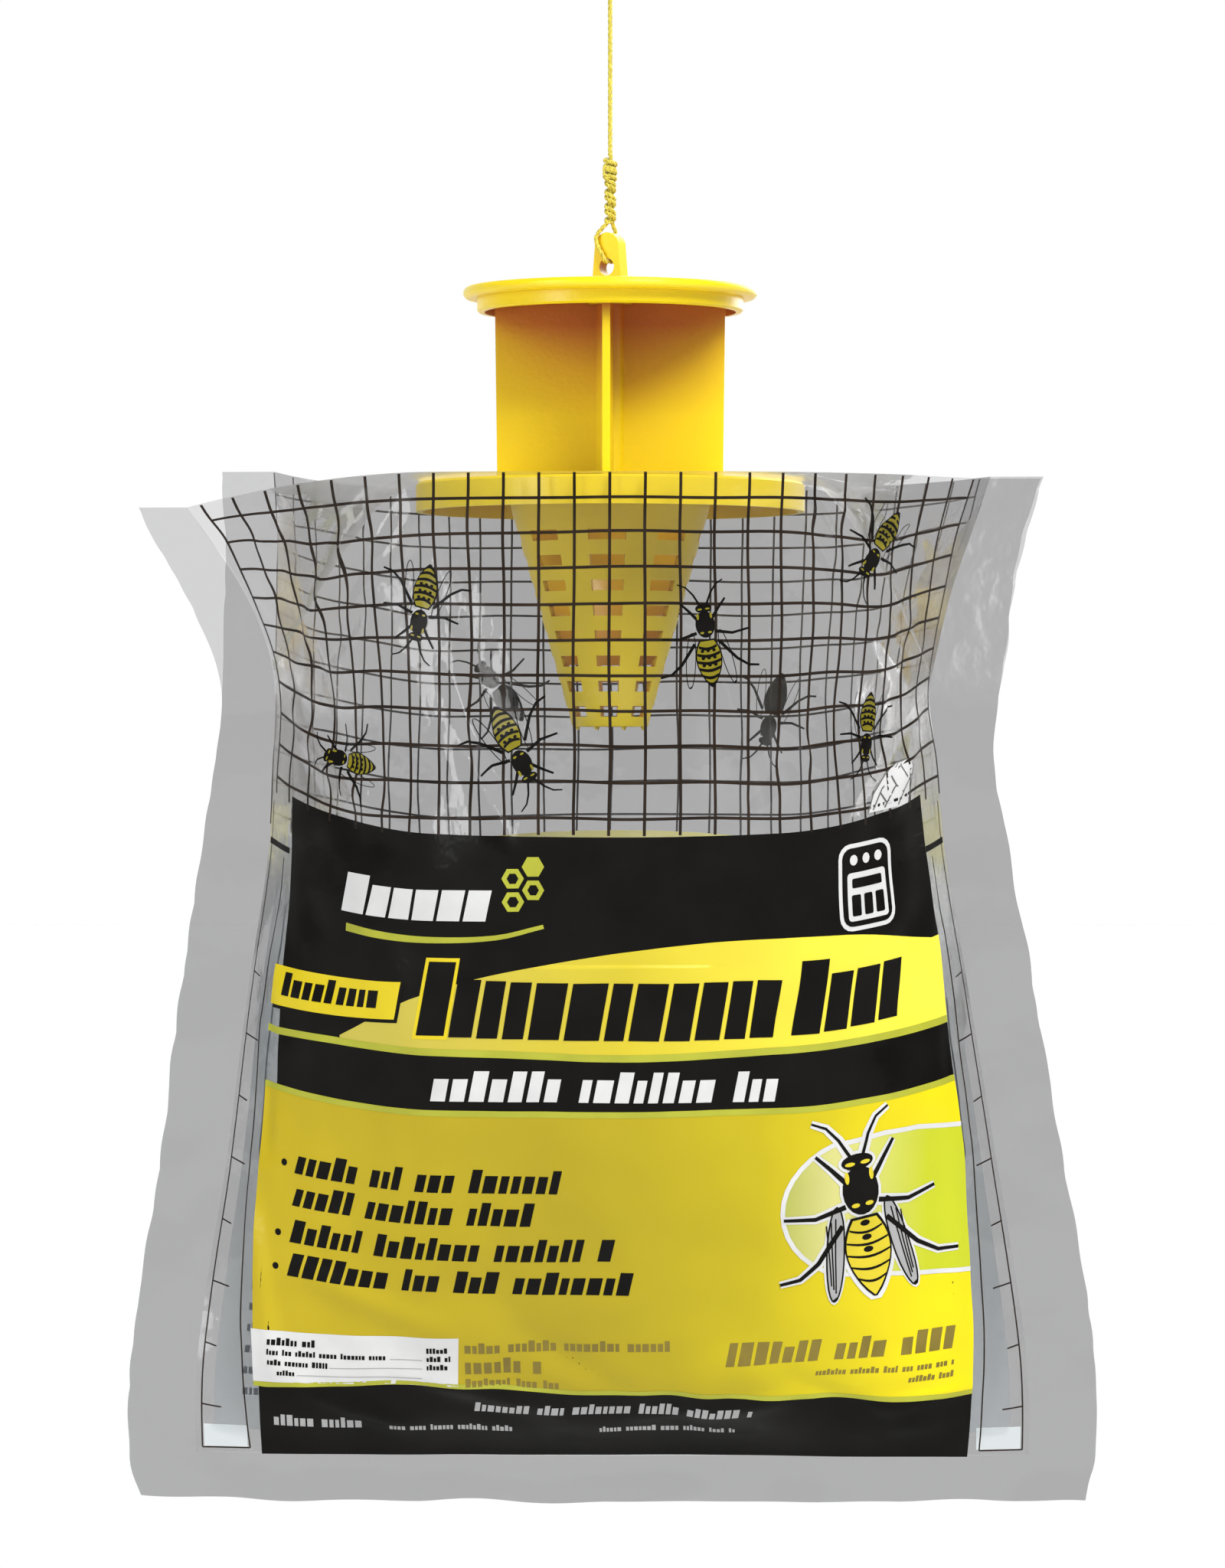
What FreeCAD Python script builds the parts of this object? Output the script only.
"""A hanging wasp trap: a moulded yellow entry unit, a clear film pouch that hangs on it, and the string it hangs from.

Millimetres. +Z is up, +X is to the right of the printed front, and +Y goes to the back.
The origin is the inside top of the string's loop, where a hook or nail bears.
"""

import FreeCAD
import Part
import math
import os

V = FreeCAD.Vector
OUT = "parts"
UP = V(0, 0, 1)

# ---- string
STRING_D = 1.1
LOOP_R = 4.0              # centreline radius of the loop's top
LOOP_FOOT_X = 0.75        # where each leg of the loop enters the knot
TOP_KNOT_TOP = -15.5
TOP_KNOT_BOTTOM = -20.0
TOP_KNOT_R = 2.1
SWING_PIVOT_Z = -19.2     # inside the knot's foot
SWING_LIMIT = 35.0        # degrees each way
WRAP_TOP = -55.5
WRAP_BOTTOM = -69.8
WRAP_R = 1.62
TWIST_GAP = 0.03

# ---- cap disc and its hang tab
CAP_TOP = -83.1
DISC_R = 30.75
DISC_T = 2.4
PLATE_T = 1.6
STEP_R = 27.8
STEP_BOTTOM = 5.2         # below the cap's top face
STEP_WALL = 1.5
BOSS_R = 4.6
BOSS_BORE = 3.0
BOSS_H = 2.0
TAB_FOOT_W = 7.4
TAB_TOP_W = 5.8
TAB_T = 2.9
TAB_H = 11.5
TAB_EYE_H = 4.3           # hole centre above the cap's top face
TAB_EYE_R = 1.8
TAB_YAW = -30.0           # the tab's face looks a little to the left of the printed front

# ---- vane cross
VANE_T = 1.6
VANE_R_TOP = 24.1
VANE_R_BOTTOM = 23.6
VANE_TONGUE_R = 19.6
VANE_TONGUE_H = 4.5
FIT = 0.05

# ---- entry flange and funnel cone
ROOF_Z = -123.5           # middle of the roof film where it lies on the flange
FILM_T = 0.4
FILM_GAP = 0.3
FLANGE_TOP = ROOF_Z - FILM_T / 2 - FILM_GAP
FLANGE_R = 40.6
FLANGE_H = 6.0
FLANGE_PLATE = 1.5
SKIRT_WALL = 1.4
LIP_R = 22.9
LIP_T = 0.9
CONE_TOP_R = 21.4
CONE_WALL = 1.1
CONE_BREAK = 5.7          # end of the straight collar below the flange's top face
CONE_BREAK_R = 20.6
CONE_BOTTOM = 50.8        # below the flange's top face
CONE_BOTTOM_R = 7.9
SLOT_ROWS = 8
SLOT_COLUMNS = 8
SLOT_FIRST = 11.3         # middle of the top row below the flange's top face
SLOT_PITCH = 5.2
SLOT_H = 2.2
SLOT_DEG = 24.0
SLOT_BACK_DROP = 1.6      # the back half's upper rows sit this much lower
LEVEL_ROWS = 2            # rows at the bottom that run level all the way round
TOOTH_H = 0.7

# ---- pouch: u runs across a panel from its middle, v down it from the top edge, z from the roof film
HALF_PRINT = 88.0         # half width of a panel between its side seals
HALF_FLAT = 101.7
SEAL_T = 0.8
APEX_V = 52.0             # where the gusset's fold meets the side seal
BOTTOM_SEAL_V = 212.0
PANEL_V = 222.0
ROOF_HOLE_R = 33.0
FLAT_SHARE = 0.42         # of the half panel's width stays level where it crosses the flange
FOLD_ROUND = 0.1          # how softly the gusset's fold turns, as a share of its reach
PANEL_PLY = 0.3           # the plies' distances from the seam's plane, below and above the gusset's apex
UPPER_PANEL_PLY = 0.72
UPPER_SEAL_PLY = 0.44
GUSSET_PLY = 0.22
PLY_RUN = 13.0            # how far down the plies take to close up below the apex
PANEL_STATIONS = [0, 7, 14, 21, 28, 35, 42, 52, 65, 85, 110, 130, 150, 170, 190, 201, BOTTOM_SEAL_V]
ROOF_STATIONS = [HALF_PRINT - 0.4, 84, 79, 73, 67, 61, 55, 50, 46, 43, 40, 36, 30, 22, 11]
ROOF_SHARES = [0.985, 0.85, 0.7, 0.55, 0.42, 0.31, 0.22, 0.15, 0.09, 0.04]
# v, then x of the print border, x of the outer edge, y, z, for each side of each panel's top
FRONT_LEFT = [(0, -86.0, -96.0, -25.0, -6.5), (14, -80.3, -92.0, -19.0, -15.2),
              (28, -74.5, -86.8, -12.0, -25.5), (42, -71.0, -82.8, -5.0, -36.0)]
FRONT_RIGHT = [(0, 75.5, 89.0, -18.0, -0.5), (14, 72.0, 85.5, -12.5, -11.5),
               (28, 69.5, 83.3, -7.0, -23.5), (42, 67.2, 82.5, -2.5, -36.0)]
BACK_LEFT = [(0, -73.0, -84.0, 28.0, 3.5), (14, -71.5, -82.5, 20.0, -8.5),
             (28, -70.8, -81.7, 12.0, -21.5), (42, -70.4, -81.5, 5.0, -35.0)]
BACK_RIGHT = [(0, 80.0, 91.0, 24.0, 2.0), (14, 76.0, 87.5, 17.0, -9.8),
              (28, 71.5, 84.3, 10.0, -22.5), (42, 68.3, 82.4, 4.0, -35.5)]
# the same below the gusset, where the two panels are sealed to each other
SIDE_LEFT = [(52, -70.2, -81.4, 0, -45.0), (65, -70.5, -82.6, 0, -57.5), (85, -71.5, -85.5, 0, -77.1),
             (110, -75.2, -89.2, 0, -102.0), (150, -80.4, -94.1, 0, -141.7), (190, -86.3, -100.0, 0, -181.3),
             (212, -86.8, -100.6, 0, -203.1), (222, -85.0, -98.4, 0, -212.5)]
SIDE_RIGHT = [(52, 66.5, 81.0, 0, -45.0), (65, 68.0, 79.8, 0, -57.5), (85, 69.8, 82.8, 0, -77.1),
              (110, 74.0, 87.4, 0, -102.0), (150, 80.6, 94.2, 0, -141.7), (190, 86.7, 100.7, 0, -181.3),
              (212, 87.3, 101.0, 0, -203.1), (222, 86.0, 98.6, 0, -212.5)]
# v, depth and z down the middle of a panel
MIDDLE = [(0, 42.0, 0.0), (14, 43.2, -14.0), (28, 44.4, -28.0), (42, 45.4, -41.9), (52, 45.8, -51.9),
          (65, 45.7, -64.9), (85, 43.8, -84.8), (110, 39.6, -109.4), (150, 30.2, -148.3),
          (190, 15.2, -184.9), (201, 9.2, -194.2), (212, 0.4, -203.6), (222, 0.0, -213.3)]

# ---- bait
TABLET_R = 8.0
TABLET_T = 3.5
TABLET_EDGE = 0.6
TABLET_INSET = 1.3        # from the middle of the film
TABLETS = {"left": (-31.0, 182.0), "middle": (26.0, 195.0), "right": (63.0, 196.0)}   # u and v of each


# ---------------------------------------------------------------- helpers
def save(name, shape):
    solids = shape.Solids
    assert solids and shape.isValid(), name
    assert all(s.isClosed() and s.Volume > 0 for s in solids), name
    shape.exportStep(os.path.join(OUT, name + ".step"))
    print(f"{name:26s} {len(solids)} solid(s) {shape.Volume:10.1f} mm3")


def revolved(points):
    """A solid turned about Z from (radius, z) points."""
    corners = [V(r, 0, z) for r, z in points]
    face = Part.Face(Part.makePolygon(corners + corners[:1]))
    return face.revolve(V(0, 0, 0), UP, 360)


def tube(edges, diameter):
    """A round tube along edges that follow each other."""
    path = Part.Wire(Part.__sortEdges__(edges))
    first = edges[0]
    start = first.valueAt(first.FirstParameter)
    heading = first.tangentAt(first.FirstParameter)
    ring = Part.Wire(Part.makeCircle(diameter / 2, start, heading))
    solid = path.makePipeShell([ring], True, True)
    expected = math.pi * diameter ** 2 / 4 * path.Length
    assert abs(solid.Volume / expected - 1) < 0.02, (solid.Volume, expected)
    return solid


def arc(a, b, c):
    return Part.Arc(a, b, c).toShape()


def line(a, b):
    return Part.LineSegment(a, b).toShape()


# ---------------------------------------------------------------- string
def string_top_loop():
    """A long loop in the XZ plane: two straight legs and a round top whose inside touches z = 0."""
    centre = V(0, 0, STRING_D / 2 - LOOP_R)
    foot = V(LOOP_FOOT_X, 0, TOP_KNOT_TOP - 0.4)
    reach = (foot - centre).Length
    bearing = math.atan2(foot.z - centre.z, foot.x - centre.x)
    touch = bearing + math.acos(LOOP_R / reach)
    right = centre + V(math.cos(touch), 0, math.sin(touch)) * LOOP_R
    left = V(-right.x, 0, right.z)
    top = centre + V(0, 0, LOOP_R)
    return tube([line(foot, right), arc(right, top, left), line(left, V(-foot.x, 0, foot.z))], STRING_D)


def string_top_knot():
    """The outer shape of the knot, with a flared foot that lets the string lean."""
    lean = math.radians(SWING_LIMIT + 3)
    throat = STRING_D / 2 / math.cos(lean) + 0.05
    mouth = throat + (SWING_PIVOT_Z - TOP_KNOT_BOTTOM) * math.tan(lean)
    seat = SWING_PIVOT_Z + STRING_D / 2 + 0.15
    mid = (TOP_KNOT_TOP + TOP_KNOT_BOTTOM) / 2
    return revolved([(0, TOP_KNOT_TOP), (1.5, TOP_KNOT_TOP), (TOP_KNOT_R, mid + 0.9), (TOP_KNOT_R, mid - 0.9),
                     (mouth + 0.25, TOP_KNOT_BOTTOM), (mouth, TOP_KNOT_BOTTOM), (throat, SWING_PIVOT_Z),
                     (throat, seat), (0, seat)])


def string_run():
    """The taut string between the two knots, with a round head on the swing pivot."""
    bottom = WRAP_TOP + TWIST_GAP
    shaft = Part.makeCylinder(STRING_D / 2, SWING_PIVOT_Z - bottom, V(0, 0, bottom))
    return shaft.fuse(Part.makeSphere(STRING_D / 2, V(0, 0, SWING_PIVOT_Z))).removeSplitter()


def string_wrap_knot():
    """The outer shape of the tail wound round the standing string."""
    return revolved([(0, WRAP_BOTTOM), (1.0, WRAP_BOTTOM), (WRAP_R - 0.15, WRAP_BOTTOM + 0.9),
                     (WRAP_R, WRAP_TOP - 3.0), (WRAP_R, WRAP_TOP - 0.8), (1.0, WRAP_TOP), (0, WRAP_TOP)])


def string_eye_loop():
    """The loop through the tab's eye, in the plane across the tab, under the top of the hole."""
    side = TAB_T / 2 + STRING_D / 2 + 0.5
    low = CAP_TOP + TAB_EYE_H + TAB_EYE_R - STRING_D / 2 - 0.1
    turn = 1.15
    shoulder = WRAP_BOTTOM - 2.1
    crown = WRAP_BOTTOM + 0.4
    bend = math.sin(math.radians(45))

    def at(n, z):
        return V(0, n, z)

    def leg(sign):
        """One side from the knot to the eye; sign picks the face of the tab."""
        top = at(sign * 0.9, crown)
        neck = at(sign * side, shoulder)
        knee = at(sign * side, low + turn)
        curve = at(sign * (side - turn + turn * bend), low + turn - turn * bend)
        return [line(top, neck), line(neck, knee), arc(knee, curve, at(sign * (side - turn), low))]

    front, back = leg(-1), leg(1)
    across = line(at(-(side - turn), low), at(side - turn, low))
    pieces = [tube([e], STRING_D) for e in (front[0], back[0])]
    lower = [front[1], front[2], across, back[2], back[1]]
    loop = tube(lower, STRING_D)
    elbows = [Part.makeSphere(STRING_D / 2, at(s * side, shoulder)) for s in (-1, 1)]
    solid = loop.multiFuse(pieces + elbows).removeSplitter()
    solid.rotate(V(0, 0, 0), UP, TAB_YAW)
    return solid


# ---------------------------------------------------------------- entry unit
def cap_disc():
    """The round roof with a stepped ring under it, a boss for the vanes, and the hang tab on top."""
    half = DISC_T / 2
    steps = 8
    rim = [(DISC_R - half + half * math.cos(a), CAP_TOP - half + half * math.sin(a))
           for a in (math.pi / 2 - math.pi * i / steps for i in range(steps + 1))]
    under = CAP_TOP - PLATE_T
    profile = [(0, CAP_TOP)] + rim + [
        (STEP_R, CAP_TOP - DISC_T), (STEP_R, CAP_TOP - STEP_BOTTOM + 0.4),
        (STEP_R - 0.4, CAP_TOP - STEP_BOTTOM), (STEP_R - STEP_WALL, CAP_TOP - STEP_BOTTOM),
        (STEP_R - STEP_WALL, under), (BOSS_R, under), (BOSS_R, under - BOSS_H),
        (BOSS_BORE, under - BOSS_H), (BOSS_BORE, under), (0, under)]
    body = revolved(profile)

    w = TAB_TOP_W / 2
    wide = TAB_FOOT_W / 2
    crown = TAB_H - w
    foot = -0.5
    outline = Part.Wire([
        line(V(-wide, 0, foot), V(wide, 0, foot)), line(V(wide, 0, foot), V(w, 0, crown)),
        arc(V(w, 0, crown), V(0, 0, TAB_H), V(-w, 0, crown)), line(V(-w, 0, crown), V(-wide, 0, foot))])
    tab = Part.Face(outline).extrude(V(0, TAB_T, 0))
    tab.translate(V(0, -TAB_T / 2, 0))
    eye = Part.makeCylinder(TAB_EYE_R, TAB_T * 3, V(0, -TAB_T * 1.5, TAB_EYE_H), V(0, 1, 0))
    tab = tab.cut(eye)
    tab.translate(V(0, 0, CAP_TOP))
    tab.rotate(V(0, 0, 0), UP, TAB_YAW)
    return body.fuse(tab).removeSplitter()


def vane_cross():
    """Four drafted vanes on a round post. The post plugs into the cap's boss, the tongues into the funnel."""
    top = CAP_TOP - PLATE_T - FIT
    bottom = FLANGE_TOP + FIT
    tongue = FLANGE_TOP - VANE_TONGUE_H
    boss_r, boss_foot = BOSS_R + FIT, CAP_TOP - PLATE_T - BOSS_H - FIT
    outline = [(0, top), (VANE_R_TOP, top), (VANE_R_BOTTOM, bottom), (VANE_TONGUE_R, bottom),
               (VANE_TONGUE_R - 1.2, tongue), (0, tongue)]
    corners = [V(r, -VANE_T / 2, z) for r, z in outline]
    vane = Part.Face(Part.makePolygon(corners + corners[:1])).extrude(V(0, VANE_T, 0))
    vanes = []
    for i in range(4):
        turned = vane.copy()
        turned.rotate(V(0, 0, 0), UP, 90 * i)
        vanes.append(turned)
    cross = vanes[0].multiFuse(vanes[1:])
    cross = cross.cut(Part.makeCylinder(boss_r, top - boss_foot + 1, V(0, 0, boss_foot)))
    post = Part.makeCylinder(BOSS_BORE - FIT, top - tongue, V(0, 0, tongue))
    return cross.fuse(post).removeSplitter()


def entry_flange():
    """The wide ring that the pouch hangs on: a plate with a skirt, and a seat for the funnel's lip."""
    top, low = FLANGE_TOP, FLANGE_TOP - FLANGE_H
    return revolved([
        (CONE_TOP_R + 0.15, top - LIP_T - FIT), (LIP_R + FIT, top - LIP_T - FIT), (LIP_R + FIT, top),
        (FLANGE_R - 0.5, top), (FLANGE_R, top - 0.5), (FLANGE_R, low), (FLANGE_R - SKIRT_WALL, low),
        (FLANGE_R - SKIRT_WALL, top - FLANGE_PLATE), (CONE_TOP_R + 1.6, top - FLANGE_PLATE),
        (CONE_TOP_R + 1.2, top - 3.6), (CONE_TOP_R + 0.15, top - 3.6)])


def funnel_cone():
    """The pierced funnel: a lip, a plain collar, and a cone with rows of slots too low for a wasp."""
    top = FLANGE_TOP
    w = CONE_WALL
    shell = revolved([
        (LIP_R, top), (LIP_R, top - LIP_T), (CONE_TOP_R, top - LIP_T), (CONE_BREAK_R, top - CONE_BREAK),
        (CONE_BOTTOM_R, top - CONE_BOTTOM), (CONE_BOTTOM_R - w, top - CONE_BOTTOM),
        (CONE_BREAK_R - w, top - CONE_BREAK), (CONE_TOP_R - w, top)])

    slots = []
    for row in range(SLOT_ROWS):
        z = top - SLOT_FIRST - row * SLOT_PITCH - SLOT_H / 2
        for column in range(SLOT_COLUMNS):
            at_back = SLOT_COLUMNS / 4 < column < SLOT_COLUMNS * 3 / 4
            drop = SLOT_BACK_DROP if at_back and row < SLOT_ROWS - LEVEL_ROWS else 0
            sector = Part.makeCylinder(CONE_TOP_R + 2, SLOT_H, V(0, 0, z - drop), UP, SLOT_DEG)
            sector.rotate(V(0, 0, 0), UP, column * 360 / SLOT_COLUMNS - SLOT_DEG / 2 - 90)
            slots.append(sector)
    shell = shell.cut(slots)

    teeth = []
    for column in range(SLOT_COLUMNS):
        root = CONE_BOTTOM_R - w / 2
        tooth = Part.makeCone(w / 2 - 0.03, 0.12, TOOTH_H + 0.3, V(root, 0, top - CONE_BOTTOM + 0.3), V(0, 0, -1))
        tooth.rotate(V(0, 0, 0), UP, (column + 0.5) * 360 / SLOT_COLUMNS - 90)
        teeth.append(tooth)
    return shell.multiFuse(teeth).removeSplitter()


# ---------------------------------------------------------------- pouch shape
def smooth(stations, v):
    """Values at v from rows that start with v, on a cubic that passes through them."""
    i = 0
    while i < len(stations) - 2 and v > stations[i + 1][0]:
        i += 1
    a, b = stations[i], stations[i + 1]
    span = b[0] - a[0]
    t = (v - a[0]) / span

    def slope(k, column):
        lo, hi = stations[max(k - 1, 0)], stations[min(k + 1, len(stations) - 1)]
        return (hi[column] - lo[column]) / (hi[0] - lo[0])

    found = []
    for c in range(1, len(a)):
        m0, m1 = slope(i, c) * span, slope(i + 1, c) * span
        found.append((2 * t ** 3 - 3 * t ** 2 + 1) * a[c] + (t ** 3 - 2 * t ** 2 + t) * m0
                     + (3 * t ** 2 - 2 * t ** 3) * b[c] + (t ** 3 - t ** 2) * m1)
    return found


def half_angle(chord, length):
    """Half the angle of the arc that has this half chord and half length."""
    low, high = 0.05, 2.5
    for _ in range(40):
        mid = (low + high) / 2
        low, high = (mid, high) if math.sin(mid) / mid > chord / length else (low, mid)
    return mid


def side_rows(front, left):
    if front:
        return (FRONT_LEFT + SIDE_LEFT) if left else (FRONT_RIGHT + SIDE_RIGHT)
    return (BACK_LEFT + SIDE_LEFT) if left else (BACK_RIGHT + SIDE_RIGHT)


def panel_point(front, u, v, ply=0.0):
    """The film at (u, v) on the front or back panel; ply is how far it lies outside the seam's own plane."""
    border_x, edge_x, side_y, side_z = smooth(side_rows(front, u < 0), v)
    depth, middle_z = smooth(MIDDLE, v)
    outward = -1 if front else 1
    middle_y = outward * depth
    side_y += outward * ply
    share = min(abs(u) / HALF_PRINT, 1.0)
    theta = half_angle(min(abs(border_x), HALF_PRINT - 0.1), HALF_PRINT)
    phi = theta * share
    x = border_x * math.sin(phi) / math.sin(theta)
    y = side_y + (middle_y - side_y) * (math.cos(phi) - math.cos(theta)) / (1 - math.cos(theta))
    rise = max((share - FLAT_SHARE) / (1 - FLAT_SHARE), 0) ** 1.7
    z = middle_z + (side_z - middle_z) * rise
    if abs(u) > HALF_PRINT:
        x += (edge_x - border_x) * (abs(u) - HALF_PRINT) / (HALF_FLAT - HALF_PRINT)
    return V(x, y, ROOF_Z + z)


def fold_point(u):
    """A point on the gusset's centre fold, level over the flange and dipping to the side seal at each end."""
    flat = FLANGE_R + 1.5
    run = max(abs(u) - flat, 0) / (HALF_PRINT - flat)
    apex = panel_point(True, math.copysign(HALF_PRINT, u), APEX_V)
    flat_x = math.copysign(min(abs(u), flat), u)
    return V(flat_x + (apex.x - flat_x) * run, 0, ROOF_Z + (apex.z - ROOF_Z) * run ** 1.35), run


def roof_point(u, w):
    """The middle of the gusset film: w runs from -1 at the front edge through the fold at 0 to 1 at the back."""
    fold, run = fold_point(u)
    soft = math.hypot(w, FOLD_ROUND)
    point = fold
    side = math.copysign(HALF_PRINT, u)
    for front, reach in ((True, (soft - w) / 2), (False, (soft + w) / 2)):
        edge = panel_point(front, u, 0, GUSSET_PLY)
        border = panel_point(front, side, APEX_V * (1 - min(reach, 1)), GUSSET_PLY)
        apex = panel_point(front, side, APEX_V, GUSSET_PLY)
        corner = panel_point(front, side, 0, GUSSET_PLY)
        bow = border - apex - (corner - apex) * min(reach, 1)
        point = point + (edge - fold) * reach + bow * run ** 2
    return point


def sheet_solid(point, us, vs, thickness):
    """A thin solid with the surface point(u, v) in its middle."""
    eps = 0.05

    def normal(u, v):
        du = point(min(u + eps, us[-1]), v) - point(max(u - eps, us[0]), v)
        dv = point(u, min(v + eps, vs[-1])) - point(u, max(v - eps, vs[0]))
        return du.cross(dv).normalize()

    faces, surfaces = [], []
    for side in (0.5, -0.5):
        grid = [[point(u, v) + normal(u, v) * (side * thickness) for v in vs] for u in us]
        surface = Part.BSplineSurface()
        surface.interpolate(grid)
        surfaces.append(surface)
        faces.append(surface.toShape())
    a, b = surfaces
    u0, u1, v0, v1 = a.bounds()
    c0, c1, d0, d1 = b.bounds()
    for one, two in ((a.uIso(u0), b.uIso(c0)), (a.uIso(u1), b.uIso(c1)),
                     (a.vIso(v0), b.vIso(d0)), (a.vIso(v1), b.vIso(d1))):
        faces.append(Part.makeRuledSurface(one.toShape(), two.toShape()))
    shell = Part.Compound(faces)
    shell.sewShape(0.005)
    solid = Part.Solid(shell.Shells[0] if shell.Shells else Part.Shell(shell.Faces))
    if solid.Volume < 0:
        solid.reverse()
    return solid


def spaced(low, high, count):
    return [low + (high - low) * i / (count - 1) for i in range(count)]


def panel_ply(v):
    """How far a panel lies outside the seam's plane: it makes room for the gusset's two plies above the apex."""
    below = min(max((v - APEX_V) / PLY_RUN, 0), 1)
    return UPPER_PANEL_PLY + (PANEL_PLY - UPPER_PANEL_PLY) * below


def panel_film(front):
    return sheet_solid(lambda u, v: panel_point(front, u, v, panel_ply(v)),
                       spaced(-HALF_PRINT, HALF_PRINT, 25), PANEL_STATIONS, FILM_T)


def seal_widths(left):
    """Three places across a side seal, in rising order."""
    inner, outer = (-HALF_PRINT, -HALF_FLAT) if left else (HALF_PRINT, HALF_FLAT)
    return spaced(min(inner, outer), max(inner, outer), 3)


def corner_seal(front, left):
    """The band beside the gusset where a panel is sealed to one ply of the roof film."""
    return sheet_solid(lambda u, v: panel_point(front, u, v, UPPER_SEAL_PLY), seal_widths(left),
                       [0, 7, 14, 21, 28, 35, 42, APEX_V], SEAL_T)


def side_seal(left):
    """The band below the gusset where the front and back panels are sealed to each other."""
    return sheet_solid(lambda u, v: panel_point(True, u, v), seal_widths(left),
                       [APEX_V, 65, 85, 110, 130, 150, 170, 190, 201, 212, PANEL_V], SEAL_T)


def bottom_seal():
    return sheet_solid(lambda u, v: panel_point(True, u, v), spaced(-HALF_PRINT, HALF_PRINT, 15),
                       [BOTTOM_SEAL_V, 217, PANEL_V], SEAL_T)


def roof_film():
    """The gusset film over the flange, with the round hole that the entry unit is pulled up through."""
    us = [-u for u in ROOF_STATIONS] + [0] + ROOF_STATIONS[::-1]
    ws = [-w for w in ROOF_SHARES] + [0] + ROOF_SHARES[::-1]
    sheet = sheet_solid(roof_point, us, ws, FILM_T)
    return sheet.cut(Part.makeCylinder(ROOF_HOLE_R, 20, V(0, 0, ROOF_Z - 10)))


# ---------------------------------------------------------------- bait
def bait_tablet(u, v):
    """A pressed disc lying against the inside of the front panel at (u, v)."""
    disc = Part.makeCylinder(TABLET_R, TABLET_T)
    disc = disc.makeChamfer(TABLET_EDGE, [e for e in disc.Edges if isinstance(e.Curve, Part.Circle)])
    step = 1.0
    here = panel_point(True, u, v)
    across = panel_point(True, u + step, v) - panel_point(True, u - step, v)
    down = panel_point(True, u, v + step) - panel_point(True, u, v - step)
    inward = across.cross(down).normalize()
    disc.Placement = FreeCAD.Placement(here + inward * TABLET_INSET, FreeCAD.Rotation(UP, inward))
    return disc


def main():
    os.makedirs(OUT, exist_ok=True)
    save("string_top_loop", string_top_loop())
    save("string_top_knot", string_top_knot())
    save("string_run", string_run())
    save("string_wrap_knot", string_wrap_knot())
    save("string_eye_loop", string_eye_loop())
    save("cap_disc", cap_disc())
    save("vane_cross", vane_cross())
    save("entry_flange", entry_flange())
    save("funnel_cone", funnel_cone())
    save("front_film", panel_film(True))
    save("back_film", panel_film(False))
    for front in (True, False):
        for left in (True, False):
            name = f"corner_seal_{'front' if front else 'back'}_{'left' if left else 'right'}"
            save(name, corner_seal(front, left))
    save("side_seal_left", side_seal(True))
    save("side_seal_right", side_seal(False))
    save("bottom_seal", bottom_seal())
    save("roof_film", roof_film())
    for place, (u, v) in TABLETS.items():
        save("bait_tablet_" + place, bait_tablet(u, v))


main()
